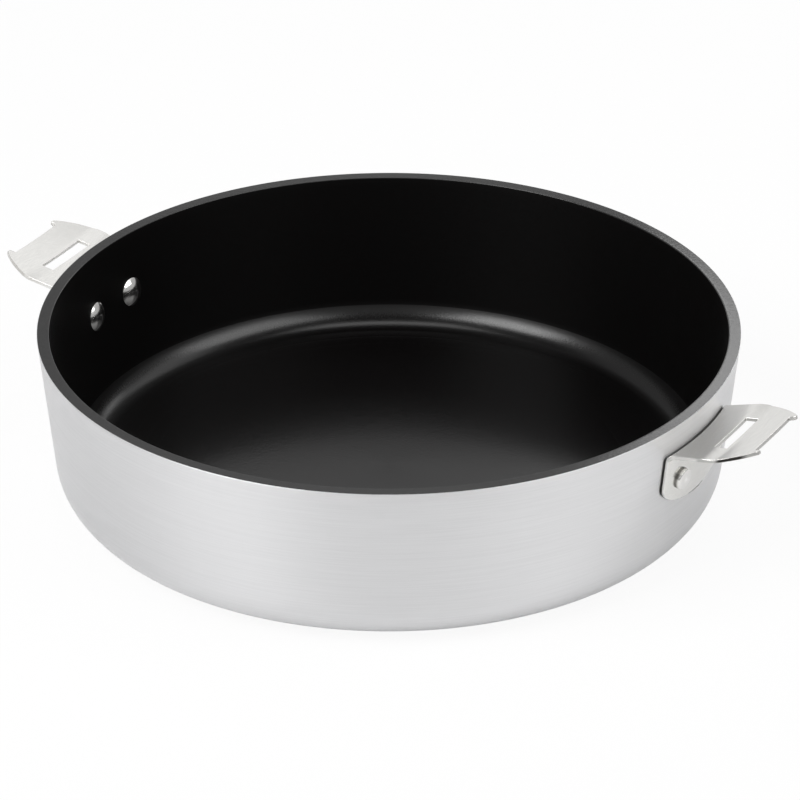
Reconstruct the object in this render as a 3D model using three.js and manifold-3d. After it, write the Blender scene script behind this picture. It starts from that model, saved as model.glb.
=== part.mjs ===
// A round saute pan: a thick aluminium vessel with a dark non-stick lining over its inside and rim,
// a steel disc let into its underside, and two riveted brackets that take clip-on handles.
// Millimetres, +Z up. The origin is on the floor under the middle of the pan, and the brackets lie along X.
import * as THREE from "three";
import { mergeVertices } from "three/addons/utils/BufferGeometryUtils.js";
import Module from "manifold-3d";

// The vessel, measured outside. The wall leans in towards the base.
const RIM_DIAMETER = 280;
const VESSEL_HEIGHT = 70;
const WALL_LEAN_DEG = 5.9;
const WALL_THICKNESS = 4.3;
const FLOOR_THICKNESS = 5.5;
const OUTER_CORNER_RADIUS = 17.5;
const INNER_CORNER_RADIUS = 12;

// The lining, which also covers the flat top of the rim.
const LINING_THICKNESS = 0.5;
const LINING_BOND = 0.05;
const RIM_EDGE_RADIUS = 0.4;

// The steel disc in the underside, set in from the edge of the flat.
// It stands a little proud, so the pan rests on it.
const DISC_MARGIN = 11;
const DISC_THICKNESS = 1.5;
const DISC_PROUD = 0.5;
const DISC_EDGE_RADIUS = 0.4;
const DISC_CLEARANCE = 0.3;

// A bracket: a tongue-shaped plate on the wall, a bend, and an ear of three stretches: the inner one, the
// shelf with the slot, and the lip. The ear's drop is measured down from the top of the rim. The stretches
// are measured level, out from the bend, and the shoulder, up to where the sides round in, from the crease.
const SHEET_THICKNESS = 1.5;
const BRACKET_GAP = 0.3;
const EAR_DROP = 11.4;
const PLATE_WIDTH = 50;
const PLATE_HEIGHT = 25.2;
const TONGUE_DEPTH = 10.4;
const BEND_RADIUS = 1.8;
const ROOT_WIDTH = 47.6;
const INNER_STRETCH = 13;
const INNER_SLOPE_DEG = 13;
const EAR_WIDTH = 51.5;
const EAR_DISH = 0.7;
const SHELF_STRETCH = 6.2;
const SHELF_SLOPE_DEG = 8.5;
const SHOULDER_STRETCH = 3.9;
const LIP_STRETCH = 11.4;
const LIP_SLOPE_DEG = 16;
const SLOT_WIDTH = 5.2;
const SLOT_LENGTH = 27.2;
const HORN_SPAN = 33.6;
const HORN_LENGTH = 2.4;
const HORN_WIDTH = 1.5;
const NOTCH_ROUND = 1.3;

// A rivet: a domed head inside, a shank through the wall and the plate, and a formed tail outside.
// It is set in from the plate's side, and up from the plate's lowest point.
const RIVET_INSET = 11.35;
const RIVET_RISE = 11.3;
const SHANK_DIAMETER = 5.5;
const HEAD_DIAMETER = 12;
const HEAD_HEIGHT = 2.4;
const HEAD_EDGE = 0.4;
const TAIL_DIAMETER = 8.8;
const TAIL_HEIGHT = 2;
const TAIL_EDGE_RADIUS = 0.5;
const RIVET_CLEARANCE = 0.3;

// How finely round shapes are cut into flats, and how far cutting shapes run past what they cut.
const ROUND_STEPS = 64;
const CORNER_STEPS = 6;
const EDGE_STEPS = 2;
const BEND_STEPS = 4;
const OUTLINE_STEPS = 6;
const SHEET_STEPS = 13;
const RIVET_STEPS = 16;
const DOME_STEPS = 4;
const CUT_MARGIN = 5;
const MERGE_DISTANCE = 1e-4;

const { degToRad } = THREE.MathUtils;
const lean = degToRad(WALL_LEAN_DEG);
const innerSlope = degToRad(INNER_SLOPE_DEG);
const shelfSlope = degToRad(SHELF_SLOPE_DEG);
const lipSlope = degToRad(LIP_SLOPE_DEG);
const quarter = Math.PI / 2;

const undersideZ = DISC_PROUD;
const rimZ = undersideZ + VESSEL_HEIGHT;
const floorZ = undersideZ + FLOOR_THICKNESS;
const rimMetalZ = rimZ - LINING_THICKNESS - LINING_BOND;

const wasm = await Module();
wasm.setup();

// A closed geometry as a solid that can be joined and cut. Triangles that shrank to a line are dropped.
function solidOf(geometry) {
  const bare = geometry.clone();
  bare.deleteAttribute("normal");
  bare.deleteAttribute("uv");
  const merged = mergeVertices(bare, MERGE_DISTANCE);
  const corners = merged.index.array;
  const triangles = [];
  for (let i = 0; i < corners.length; i += 3) {
    const [a, b, c] = [corners[i], corners[i + 1], corners[i + 2]];
    if (a !== b && b !== c && c !== a) triangles.push(a, b, c);
  }
  const vertProperties = merged.getAttribute("position").array;
  const triVerts = new Uint32Array(triangles);
  return new wasm.Manifold(new wasm.Mesh({ numProp: 3, vertProperties, triVerts }));
}

// A named mesh of a solid.
function meshOf(solid, name, material) {
  const { vertProperties, triVerts } = solid.getMesh();
  const geometry = new THREE.BufferGeometry();
  geometry.setAttribute("position", new THREE.BufferAttribute(vertProperties, 3));
  geometry.setIndex(new THREE.BufferAttribute(triVerts, 1));
  geometry.computeVertexNormals();
  const mesh = new THREE.Mesh(geometry, material);
  mesh.name = name;
  return mesh;
}

// Points along an arc in a section plane, from one angle to another.
function arc(x, y, radius, from, to, steps) {
  return new THREE.ArcCurve(x, y, radius, from, to, to < from).getPoints(steps);
}

// A section turned about the Z axis. Its points go anticlockwise: x is the radius and y the height.
function turned(points, steps) {
  return solidOf(new THREE.LatheGeometry(points, steps).rotateX(quarter));
}

// A flat outline carried straight from one place to another along Z, where it lies in X and Y,
// or along X, where it lies in Y and Z.
function carried(outline, axis, from, to) {
  const geometry = new THREE.ExtrudeGeometry(outline, { depth: to - from, bevelEnabled: false });
  geometry.translate(0, 0, from);
  if (axis === "X") geometry.rotateX(quarter).rotateZ(quarter);
  return solidOf(geometry);
}

// The radius of the wall's outside, moved in square to the wall by a depth, at a height.
function wallRadius(z, depth = 0) {
  return RIM_DIAMETER / 2 - (rimZ - z) * Math.tan(lean) - depth / Math.cos(lean);
}

// The rounded corner between a level face at a height and the wall at a depth, from the level face up.
function bottomCorner(z, depth, radius) {
  const middleZ = z + radius;
  return arc(wallRadius(middleZ, depth + radius), middleZ, radius, -quarter, -lean, CORNER_STEPS);
}

// The pan's inside, lifted square off the metal: from the floor's middle to the top of the rounded corner.
function floorInside(lift) {
  const z = floorZ + lift;
  return [new THREE.Vector2(0, z), ...bottomCorner(z, WALL_THICKNESS + lift, INNER_CORNER_RADIUS - lift)];
}

// The flat top of the rim, lifted off the metal, from its inner edge to its outer edge.
function rimTop(lift) {
  const z = rimMetalZ + lift;
  return [new THREE.Vector2(wallRadius(z, WALL_THICKNESS + lift), z), new THREE.Vector2(wallRadius(z), z)];
}

// The disc fits the flat of the underside, which ends where the outer corner starts.
const outerCorner = bottomCorner(undersideZ, 0, OUTER_CORNER_RADIUS);
const discRadius = outerCorner[0].x - DISC_MARGIN;

// The vessel: the disc's recess, the underside, the outer corner, the wall, and back down the inside.
function vesselSection() {
  const recessRadius = discRadius + DISC_CLEARANCE;
  return [
    new THREE.Vector2(0, DISC_THICKNESS),
    new THREE.Vector2(recessRadius, DISC_THICKNESS),
    new THREE.Vector2(recessRadius, undersideZ),
    ...outerCorner,
    ...rimTop(0).toReversed(),
    ...floorInside(0).toReversed(),
  ];
}

// The lining: along the metal from the floor's middle to the rim's outer edge, then back over its own
// surface. Its edges at the rim are rounded within its own thickness.
function liningSection() {
  const surface = LINING_BOND + LINING_THICKNESS;
  const edge = Math.min(RIM_EDGE_RADIUS, LINING_THICKNESS / (1 + Math.sin(lean)));
  const edgeZ = rimZ - edge;
  const innerEdgeX = wallRadius(edgeZ, WALL_THICKNESS + surface - edge);
  return [
    ...floorInside(LINING_BOND),
    ...rimTop(LINING_BOND),
    ...arc(wallRadius(edgeZ, edge), edgeZ, edge, -lean, quarter, EDGE_STEPS),
    ...arc(innerEdgeX, edgeZ, edge, quarter, 2 * quarter - lean, EDGE_STEPS),
    ...floorInside(surface).toReversed(),
  ];
}

// The base disc, with its lower edge rounded.
function discSection() {
  return [
    new THREE.Vector2(0, 0),
    ...arc(discRadius - DISC_EDGE_RADIUS, DISC_EDGE_RADIUS, DISC_EDGE_RADIUS, -quarter, 0, EDGE_STEPS),
    new THREE.Vector2(discRadius, DISC_THICKNESS),
    new THREE.Vector2(0, DISC_THICKNESS),
  ];
}

// Where the bracket's wall face would meet the top of its ear if the bend were sharp.
const bendZ = rimZ - EAR_DROP;
const bendX = wallRadius(bendZ, -BRACKET_GAP);
const creaseX = bendX + INNER_STRETCH;
const creaseZ = bendZ + INNER_STRETCH * Math.tan(innerSlope);
const shoulderX = creaseX + SHOULDER_STRETCH;
const lipX = creaseX + SHELF_STRETCH;
const lipZ = creaseZ + SHELF_STRETCH * Math.tan(shelfSlope);
const tipX = lipX + LIP_STRETCH;
const hornX = tipX + HORN_LENGTH;
const plateZ = bendZ - PLATE_HEIGHT;
const sheetWidth = Math.max(PLATE_WIDTH, ROOT_WIDTH, EAR_WIDTH) + 2 * CUT_MARGIN;

// The bent sheet seen from the side: up the wall, round the bend, out to the tip, and back underneath.
const bendTurn = quarter - lean - innerSlope;
const bendOuter = BEND_RADIUS + SHEET_THICKNESS;
const bendSetback = bendOuter * Math.tan(bendTurn / 2);
const stretchStartX = bendX + bendSetback * Math.cos(innerSlope);

// The direction square to a slope, pointing down through the sheet.
function downFrom(slope) {
  return new THREE.Vector2(Math.sin(slope), -Math.cos(slope));
}

// The ear's two folds, the crease and the foot of the lip, with the slopes before and after them.
const folds = [
  { top: new THREE.Vector2(creaseX, creaseZ), before: innerSlope, after: shelfSlope },
  { top: new THREE.Vector2(lipX, lipZ), before: shelfSlope, after: lipSlope },
];

// The underside of the sheet at a fold.
function underFold({ top, before, after }) {
  const depth = SHEET_THICKNESS / Math.cos((after - before) / 2);
  return top.clone().addScaledVector(downFrom((before + after) / 2), depth);
}

function sheetSection() {
  const endX = hornX + CUT_MARGIN;
  const endZ = lipZ + (endX - lipX) * Math.tan(lipSlope);
  const footZ = plateZ - CUT_MARGIN;
  const middleX = bendX - bendSetback * Math.sin(lean) + bendOuter * Math.cos(lean);
  const middleZ = bendZ - bendSetback * Math.cos(lean) - bendOuter * Math.sin(lean);
  const atWall = 2 * quarter - lean;
  const atEar = quarter + innerSlope;
  return [
    new THREE.Vector2(wallRadius(footZ, -BRACKET_GAP - SHEET_THICKNESS), footZ),
    ...arc(middleX, middleZ, BEND_RADIUS, atWall, atEar, BEND_STEPS),
    ...folds.map(underFold),
    new THREE.Vector2(endX, endZ).addScaledVector(downFrom(lipSlope), SHEET_THICKNESS),
    new THREE.Vector2(endX, endZ),
    ...folds.map(({ top }) => top).toReversed(),
    ...arc(middleX, middleZ, bendOuter, atEar, atWall, BEND_STEPS),
    new THREE.Vector2(wallRadius(footZ, -BRACKET_GAP), footZ),
  ];
}

// The sheet carried across the bracket, then curved: the plate and the bend follow the round wall,
// and from there to the crease the ear straightens, and its sides begin to rise.
function bentSheet() {
  const settings = { depth: sheetWidth, steps: SHEET_STEPS, bevelEnabled: false };
  const geometry = new THREE.ExtrudeGeometry(new THREE.Shape(sheetSection()), settings);
  geometry.rotateX(quarter).translate(0, sheetWidth / 2, 0);
  const position = geometry.getAttribute("position");
  for (let i = 0; i < position.count; i++) {
    const { x, y, z } = new THREE.Vector3().fromBufferAttribute(position, i);
    const share = THREE.MathUtils.clamp((creaseX - x) / (creaseX - stretchStartX), 0, 1);
    const sag = x - Math.sqrt(x ** 2 - y ** 2);
    const rise = EAR_DISH * (2 * y / EAR_WIDTH) ** 2;
    position.setX(i, x - share * sag);
    position.setZ(i, z + (1 - share) * rise);
  }
  return solidOf(geometry);
}

// How far back from the bracket's middle the bend curves, with the wall, at a distance to the side.
function wallSag(y) {
  return bendX - Math.sqrt(bendX ** 2 - y ** 2);
}

// A place behind all of the plate.
const behindX = bendX - wallSag(PLATE_WIDTH / 2) - CUT_MARGIN;

// The ear from above. The sheet narrows from the plate to the ear's root along the bend, widens to the
// crease, and rounds in from the shoulders to the horns, with a notched tip between them.
function earOutline() {
  const side = EAR_WIDTH / 2;
  const hornY = HORN_SPAN / 2;
  const notchY = hornY - HORN_WIDTH;
  const run = hornX - shoulderX;
  const radius = (run ** 2 + (side - hornY) ** 2) / (2 * (side - hornY));
  const half = new THREE.Path();
  half.moveTo(behindX, PLATE_WIDTH / 2);
  half.lineTo(bendX - wallSag(PLATE_WIDTH / 2), PLATE_WIDTH / 2);
  half.lineTo(stretchStartX - wallSag(ROOT_WIDTH / 2), ROOT_WIDTH / 2);
  half.lineTo(creaseX, side);
  half.absarc(shoulderX, side - radius, radius, quarter, quarter - Math.asin(run / radius), true);
  half.lineTo(hornX, notchY);
  half.quadraticCurveTo(tipX, notchY, tipX, notchY - NOTCH_ROUND);
  const points = half.getPoints(OUTLINE_STEPS);
  const mirrored = points.map((p) => new THREE.Vector2(p.x, -p.y));
  return new THREE.Shape([...mirrored, ...points.toReversed()]);
}

// The plate from the front: straight sides that end below in half an ellipse.
function plateOutline(topZ) {
  const side = sheetWidth / 2;
  const outline = new THREE.Shape();
  outline.moveTo(side, topZ);
  outline.lineTo(-side, topZ);
  outline.lineTo(-side, plateZ + TONGUE_DEPTH);
  outline.lineTo(-PLATE_WIDTH / 2, plateZ + TONGUE_DEPTH);
  outline.absellipse(0, plateZ + TONGUE_DEPTH, PLATE_WIDTH / 2, TONGUE_DEPTH, -2 * quarter, 0, false);
  outline.lineTo(side, plateZ + TONGUE_DEPTH);
  return new THREE.Shape(outline.getPoints(OUTLINE_STEPS));
}

function slotOutline() {
  const outline = new THREE.Shape();
  outline.moveTo(creaseX, -SLOT_LENGTH / 2);
  outline.lineTo(creaseX + SLOT_WIDTH, -SLOT_LENGTH / 2);
  outline.lineTo(creaseX + SLOT_WIDTH, SLOT_LENGTH / 2);
  outline.lineTo(creaseX, SLOT_LENGTH / 2);
  return outline;
}

// A rivet's place on the wall's outside, and its turn about Z from the bracket's middle.
const rivetZ = plateZ + RIVET_RISE;
const rivetX = wallRadius(rivetZ);
const rivetTurn = Math.asin((PLATE_WIDTH / 2 - RIVET_INSET) / rivetX);

// The two ends of the pan: the turn about Z of each bracket, and of its rivets from the bracket's middle.
const ends = {
  right: { turn: 0, rivets: { front: -rivetTurn, back: rivetTurn } },
  left: { turn: Math.PI, rivets: { front: rivetTurn, back: -rivetTurn } },
};

// What a rivet clamps, along its own axis, with the wall's outside at 0 and away from the pan positive.
// The head's flat underside bridges the hollow curve of the lining.
const liningRadius = wallRadius(rivetZ, WALL_THICKNESS + LINING_BOND + LINING_THICKNESS);
const headBridge = liningRadius - Math.sqrt(liningRadius ** 2 - (HEAD_DIAMETER / 2) ** 2);
const headSeat = -WALL_THICKNESS - LINING_BOND - LINING_THICKNESS - headBridge - RIVET_CLEARANCE;
const tailSeat = BRACKET_GAP + SHEET_THICKNESS + RIVET_CLEARANCE;

// The rivet's section: the radius, and the place along the axis.
function rivetSection() {
  const dome = new THREE.EllipseCurve(0, 0, HEAD_DIAMETER / 2, HEAD_HEIGHT - HEAD_EDGE, -quarter, 0, false);
  const edgeX = TAIL_DIAMETER / 2 - TAIL_EDGE_RADIUS;
  const edgeY = tailSeat + TAIL_HEIGHT - TAIL_EDGE_RADIUS;
  return [
    ...dome.getPoints(DOME_STEPS).map((p) => new THREE.Vector2(p.x, p.y + headSeat - HEAD_EDGE)),
    new THREE.Vector2(HEAD_DIAMETER / 2, headSeat),
    new THREE.Vector2(SHANK_DIAMETER / 2, headSeat),
    new THREE.Vector2(SHANK_DIAMETER / 2, tailSeat),
    new THREE.Vector2(TAIL_DIAMETER / 2, tailSeat),
    ...arc(edgeX, edgeY, TAIL_EDGE_RADIUS, 0, quarter, EDGE_STEPS),
    new THREE.Vector2(0, tailSeat + TAIL_HEIGHT),
  ];
}

// A rivet, or the drill for its hole, put in its place: turned about Z and tipped down by the wall's lean.
function atRivet(turn, piece) {
  const place = new THREE.Group();
  place.rotation.z = turn;
  piece.position.set(rivetX, 0, rivetZ);
  piece.rotation.y = lean;
  place.add(piece);
  return place;
}

// The drill for a rivet hole through the plate, the wall and the lining. Its flats clear the round shank.
function rivetHole(turn) {
  const radius = (SHANK_DIAMETER / 2 + RIVET_CLEARANCE) / Math.cos(Math.PI / RIVET_STEPS);
  const length = 2 * (CUT_MARGIN + WALL_THICKNESS + LINING_THICKNESS + SHEET_THICKNESS);
  const geometry = new THREE.CylinderGeometry(radius, radius, length, RIVET_STEPS).rotateZ(-quarter);
  const drill = new THREE.Mesh(geometry);
  atRivet(turn, drill).updateMatrixWorld(true);
  return solidOf(geometry.applyMatrix4(drill.matrixWorld));
}

const vesselMetal = new THREE.MeshStandardMaterial({ color: 0xc8c9ca, roughness: 0.4, metalness: 1 });
const liningCoat = new THREE.MeshStandardMaterial({ color: 0x131313, roughness: 0.35, metalness: 0 });
const discSteel = new THREE.MeshStandardMaterial({ color: 0xaaa9a6, roughness: 0.35, metalness: 1 });
const bracketSteel = new THREE.MeshStandardMaterial({ color: 0xd6d5d1, roughness: 0.25, metalness: 1 });
const rivetSteel = new THREE.MeshStandardMaterial({ color: 0xdedede, roughness: 0.15, metalness: 1 });

// The bracket in its place at the right-hand end: the bent sheet, cut to its outlines, slotted and drilled.
function bracketSolid() {
  const below = plateZ - CUT_MARGIN;
  const above = rimZ + LIP_STRETCH;
  return bentSheet()
    .intersect(carried(earOutline(), "Z", below, above))
    .intersect(carried(plateOutline(above), "X", behindX, hornX + CUT_MARGIN))
    .subtract(carried(slotOutline(), "Z", below, above))
    .subtract(rivetHole(rivetTurn))
    .subtract(rivetHole(-rivetTurn));
}

const bracket = bracketSolid();
const rivet = solidOf(new THREE.LatheGeometry(rivetSection(), RIVET_STEPS).rotateZ(-quarter));
let vessel = turned(vesselSection(), ROUND_STEPS);
let lining = turned(liningSection(), ROUND_STEPS);
const pan = new THREE.Group();

for (const [end, { turn, rivets }] of Object.entries(ends)) {
  const group = new THREE.Group();
  group.rotation.z = turn;
  group.add(meshOf(bracket, `handle_bracket_${end}`, bracketSteel));
  for (const [side, rivetSide] of Object.entries(rivets)) {
    group.add(atRivet(rivetSide, meshOf(rivet, `rivet_${end}_${side}`, rivetSteel)));
    const hole = rivetHole(turn + rivetSide);
    vessel = vessel.subtract(hole);
    lining = lining.subtract(hole);
  }
  pan.add(group);
}

pan.add(meshOf(vessel, "pan_body", vesselMetal));
pan.add(meshOf(lining, "nonstick_lining", liningCoat));
pan.add(meshOf(turned(discSection(), ROUND_STEPS), "base_disc", discSteel));

export default pan;
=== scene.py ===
import bmesh
import bpy
import numpy as np
from mathutils import Matrix


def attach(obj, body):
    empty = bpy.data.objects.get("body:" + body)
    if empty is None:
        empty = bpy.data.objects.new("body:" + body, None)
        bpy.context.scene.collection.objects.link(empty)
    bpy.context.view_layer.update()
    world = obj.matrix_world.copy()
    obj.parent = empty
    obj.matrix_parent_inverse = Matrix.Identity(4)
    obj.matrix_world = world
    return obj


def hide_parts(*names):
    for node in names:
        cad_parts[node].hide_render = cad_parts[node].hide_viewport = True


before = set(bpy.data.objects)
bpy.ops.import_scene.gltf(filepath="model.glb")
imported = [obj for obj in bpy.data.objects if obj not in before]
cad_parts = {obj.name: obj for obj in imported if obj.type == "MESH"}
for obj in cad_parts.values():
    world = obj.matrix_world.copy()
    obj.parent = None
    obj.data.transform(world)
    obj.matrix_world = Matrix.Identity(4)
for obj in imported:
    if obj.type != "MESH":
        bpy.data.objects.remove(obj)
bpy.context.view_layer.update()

# The vessel
# One thick round pan pressed from aluminium, with a flat floor, round corners and a wall that leans
# outwards and thickens towards its foot. Its outside was spun against a fine abrasive belt, so
# hair-thin scratches run round it.

# Lengths are in millimetres, and become metres where they enter Blender.
MM = 0.001
PER_METRE = 1000.0

RIM_RADIUS = 140.0
RIM_Z = 70.5
UNDERSIDE_Z = 0.5
FLOOR_Z = 6.0
WALL_LEAN = np.radians(5.9)
WALL_THICKNESS = 4.3
FOOT_THICKNESS = 5.8
OUTER_CORNER = 17.5
INNER_CORNER = 12.0
COAT_BOND = 0.05
COAT_THICKNESS = 0.5
DISC_RADIUS = 106.0
DISC_THICKNESS = 1.5
DISC_CLEARANCE = 0.3
RECESS_EDGE = 0.3
BARE_EDGE = 0.12
TURNS_ROUND = 288
MERGE_WITHIN = 0.0001
SMOOTH_ANGLE = 35.0

ALUMINIUM = "#e6e6e7"
ALUMINIUM_STREAK = "#e3e3e4"

# Real belt scratches lie about 0.05 mm apart. They are drawn coarser, so that they show.
BRUSH_LENGTH = 30.0
BRUSH_PITCH = 0.45
BRUSH_RELIEF = 0.1
BRUSH_BUMP = 0.12
BRUSHED_ROUGHNESS = (("To Min", 0.36), ("To Max", 0.46))
BRUSHED_DRAWN_OUT = 0.8
QUARTER_TURN = 0.25

# Most of a noise's values lie within the first reach. The second gives clearer streaks.
NOISE_REACH = (("From Min", 0.3), ("From Max", 0.7))
STREAK_REACH = (("From Min", 0.35), ("From Max", 0.65))


def wall_radius(z, depth=0.0):
    """Radius of the wall's outside at a height, moved in square to the wall by a depth."""
    return RIM_RADIUS - (RIM_Z - z) * np.tan(WALL_LEAN) - depth / np.cos(WALL_LEAN)


def arc(x, z, radius, start, end, steps):
    """Points on a circle about (x, z), from one angle to another."""
    angle = np.linspace(start, end, steps + 1)
    return np.column_stack([x + radius * np.cos(angle), z + radius * np.sin(angle)])


def straight(start, end, steps):
    """Points between two ends at even spacing, without the two ends themselves."""
    share = np.linspace(0.0, 1.0, steps + 2)[1:-1, None]
    return np.asarray(start) * (1.0 - share) + np.asarray(end) * share


def bottom_corner(z, depth, radius, steps=24):
    """The rounded corner between a level face at z and the wall at a depth, from the level face up."""
    middle = z + radius
    return arc(wall_radius(middle, depth + radius), middle, radius, -np.pi / 2, -WALL_LEAN, steps)


def turned(section, steps=TURNS_ROUND):
    """A section of radius and height turned about Z: (r cos a, r sin a, z), closed along both ways."""
    angle = np.linspace(0.0, 2.0 * np.pi, steps, endpoint=False)
    radius = section[:, 0:1]
    points = np.stack(
        [radius * np.cos(angle), radius * np.sin(angle), section[:, 1:2] + 0.0 * angle], axis=-1
    )
    index = np.arange(len(section) * steps).reshape(len(section), steps)
    below = index
    above = np.roll(index, -1, axis=0)
    faces = np.stack(
        [below, np.roll(below, -1, axis=1), np.roll(above, -1, axis=1), above], axis=-1
    )
    return points.reshape(-1, 3), faces.reshape(-1, 4)


def solid(name, points, faces, materials, face_material=None, smooth_angle=SMOOTH_ANGLE):
    """A mesh object from points in millimetres. Points that fall together, as on an axis, are merged."""
    mesh = bpy.data.meshes.new(name)
    mesh.from_pydata((points * MM).tolist(), [], faces.tolist())
    for material in materials:
        mesh.materials.append(material)
    if face_material is not None:
        mesh.polygons.foreach_set("material_index", face_material)
    shape = bmesh.new()
    shape.from_mesh(mesh)
    bmesh.ops.remove_doubles(shape, verts=shape.verts, dist=MERGE_WITHIN * MM)
    shape.to_mesh(mesh)
    shape.free()
    mesh.polygons.foreach_set("use_smooth", np.ones(len(mesh.polygons), dtype=bool))
    mesh.set_sharp_from_angle(angle=np.radians(smooth_angle))
    mesh.update()
    made = bpy.data.objects.new(name, mesh)
    bpy.context.collection.objects.link(made)
    return made


def linear(colour):
    """An sRGB hex colour as linear red, green, blue and alpha."""
    value = np.array([int(colour[i:i + 2], 16) for i in (1, 3, 5)]) / 255.0
    value = np.where(value <= 0.04045, value / 12.92, ((value + 0.055) / 1.055) ** 2.4)
    return (*value.tolist(), 1.0)


def node(tree, kind, inputs=(), **settings):
    """Add a node with its settings. Inputs are pairs of a socket and a value or another node's output."""
    made = tree.nodes.new(kind)
    for name, value in settings.items():
        setattr(made, name, value)
    for socket, value in inputs:
        if isinstance(value, bpy.types.NodeSocket):
            tree.links.new(value, made.inputs[socket])
        else:
            made.inputs[socket].default_value = value
    return made


def new_material(name):
    """An empty material and its node tree."""
    material = bpy.data.materials.new(name)
    material.use_nodes = True
    material.node_tree.nodes.clear()
    return material, material.node_tree


def round_scratches(tree, length, pitch, detail=3.0):
    """Noise in rings about Z: long round the piece, and as fine as the pitch across it.

    The noise is read at the heading from the axis, times the rim's radius over the length, and moved
    along Z by radius plus height, over the pitch.
    """
    place = node(tree, "ShaderNodeTexCoord").outputs["Object"]
    parts = node(tree, "ShaderNodeSeparateXYZ", [(0, place)])
    flat = node(tree, "ShaderNodeCombineXYZ", [(0, parts.outputs[0]), (1, parts.outputs[1])])
    radius = node(tree, "ShaderNodeVectorMath", [(0, flat.outputs[0])], operation="LENGTH")
    heading = node(tree, "ShaderNodeVectorMath", [(0, flat.outputs[0])], operation="NORMALIZE")
    round_piece = node(
        tree, "ShaderNodeVectorMath",
        [(0, heading.outputs[0]), (3, RIM_RADIUS / length)],
        operation="SCALE",
    )
    across = node(
        tree, "ShaderNodeMath",
        [(0, radius.outputs["Value"]), (1, parts.outputs[2])],
        operation="ADD",
    )
    fine = node(
        tree, "ShaderNodeMath",
        [(0, across.outputs[0]), (1, PER_METRE / pitch)],
        operation="MULTIPLY",
    )
    lift = node(tree, "ShaderNodeCombineXYZ", [(2, fine.outputs[0])])
    vector = node(
        tree, "ShaderNodeVectorMath",
        [(0, round_piece.outputs[0]), (1, lift.outputs[0])],
        operation="ADD",
    )
    return node(
        tree, "ShaderNodeTexNoise",
        [("Vector", vector.outputs[0]), ("Scale", 1.0), ("Detail", detail)],
    )


def brushed_aluminium():
    """Satin aluminium: soft upright bands of light, drawn out across the round scratches."""
    material, tree = new_material("brushed aluminium")
    scratches = round_scratches(tree, BRUSH_LENGTH, BRUSH_PITCH)
    rough = node(
        tree, "ShaderNodeMapRange",
        [("Value", scratches.outputs["Fac"]), *NOISE_REACH, *BRUSHED_ROUGHNESS],
    )
    streak = node(tree, "ShaderNodeMapRange", [("Value", scratches.outputs["Fac"]), *STREAK_REACH])
    colour = node(
        tree, "ShaderNodeMix",
        [("Factor", streak.outputs[0]), ("A", linear(ALUMINIUM)), ("B", linear(ALUMINIUM_STREAK))],
        data_type="RGBA",
    )
    bump = node(
        tree, "ShaderNodeBump",
        [("Strength", BRUSH_BUMP), ("Distance", BRUSH_RELIEF * MM), ("Height", scratches.outputs["Fac"])],
    )
    tangent = node(tree, "ShaderNodeTangent", direction_type="RADIAL", axis="Z")
    shader = node(
        tree, "ShaderNodeBsdfPrincipled",
        [("Base Color", colour.outputs["Result"]), ("Metallic", 1.0),
         ("Roughness", rough.outputs["Result"]), ("Anisotropic", BRUSHED_DRAWN_OUT),
         ("Anisotropic Rotation", QUARTER_TURN), ("Normal", bump.outputs["Normal"]),
         ("Tangent", tangent.outputs["Tangent"])],
    )
    node(tree, "ShaderNodeOutputMaterial", [("Surface", shader.outputs["BSDF"])])
    return material


recess_radius = DISC_RADIUS + DISC_CLEARANCE
recess_lip = recess_radius + RECESS_EDGE
outer_corner = bottom_corner(UNDERSIDE_Z, 0.0, OUTER_CORNER)
inner_corner = bottom_corner(FLOOR_Z, FOOT_THICKNESS, INNER_CORNER)
metal_rim_z = RIM_Z - COAT_THICKNESS - COAT_BOND
bare_z = RIM_Z - BARE_EDGE
bare_corner = arc(wall_radius(bare_z, BARE_EDGE), bare_z, BARE_EDGE, -WALL_LEAN, np.pi / 2, 6)
bare_foot = np.array([bare_corner[-1, 0], metal_rim_z])
rim_inner = np.array([wall_radius(metal_rim_z, WALL_THICKNESS), metal_rim_z])
vessel_section = np.vstack([
    [[0.0, DISC_THICKNESS]],
    straight((0.0, DISC_THICKNESS), (recess_radius, DISC_THICKNESS), 10),
    [[recess_radius, DISC_THICKNESS]],
    arc(recess_lip, UNDERSIDE_Z + RECESS_EDGE, RECESS_EDGE, np.pi, 1.5 * np.pi, 4),
    straight((recess_lip, UNDERSIDE_Z), outer_corner[0], 4),
    outer_corner,
    straight(outer_corner[-1], bare_corner[0], 24),
    bare_corner,
    [bare_foot, rim_inner],
    straight(rim_inner, inner_corner[-1], 12),
    inner_corner[::-1],
    straight(inner_corner[0], (0.0, FLOOR_Z), 10),
    [[0.0, FLOOR_Z]],
])
points, faces = turned(vessel_section)
vessel = solid("vessel", points, faces, [brushed_aluminium()])
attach(vessel, "root")
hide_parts("pan_body")

# The base disc
# A disc of magnetic stainless steel for induction hobs, let into the underside and pressed home.
# Its face was turned on a lathe, which leaves fine rings.

DISC_EDGE = 0.4
DISC_BACK_GAP = 0.02
STEEL_DISC = "#b7b5b1"

# Real turning leaves about four rings to a millimetre. They are drawn coarser, so that they show.
TURNING_LENGTH = 60.0
TURNING_PITCH = 0.9
TURNING_RELIEF = 0.2
TURNING_BUMP = 0.25
TURNED_ROUGHNESS = (("To Min", 0.24), ("To Max", 0.36))


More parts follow.
